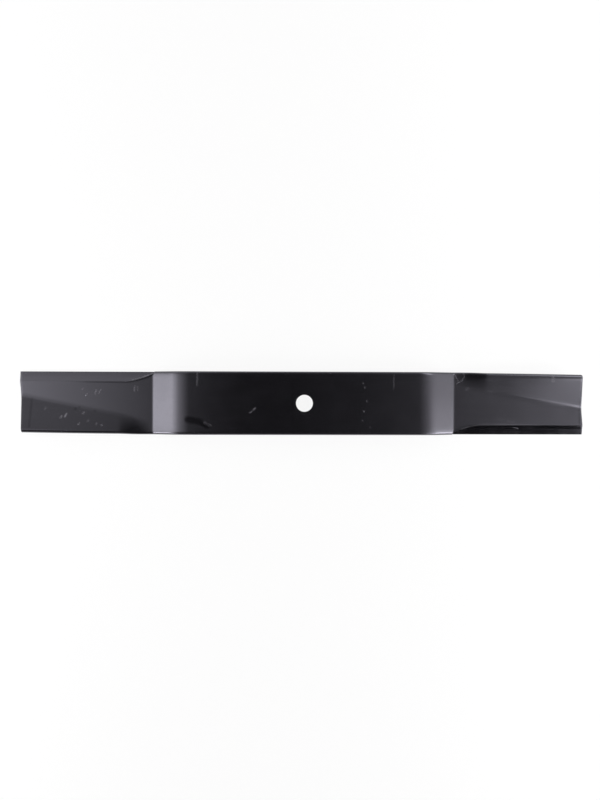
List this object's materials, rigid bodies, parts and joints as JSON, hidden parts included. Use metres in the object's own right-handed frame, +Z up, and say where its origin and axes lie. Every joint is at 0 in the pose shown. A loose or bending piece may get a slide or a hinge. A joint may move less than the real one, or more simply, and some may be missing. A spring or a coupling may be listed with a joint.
{
  "type": "rotary mower blade",
  "caption": "Pressed flat-bar rotary mower blade with a bolt hole, lowered wings, ground leading edges and folded-up lift flaps, black lacquered.",
  "frame": {"origin": "on the bolt hole's axis, level with the upper seat on the middle of the bar", "axes": "+Z up along the bolt hole, +X along the bar, with the cutting edge of the +X wing at -Y"},
  "size_m": [0.54, 0.06, 0.0182],
  "materials": {
    "black_lacquer": "glossy black dip lacquer on steel, a little scuffed"
  },
  "bodies": {
    "root": {"mower_blade": "black_lacquer"}
  },
  "joints": []
}
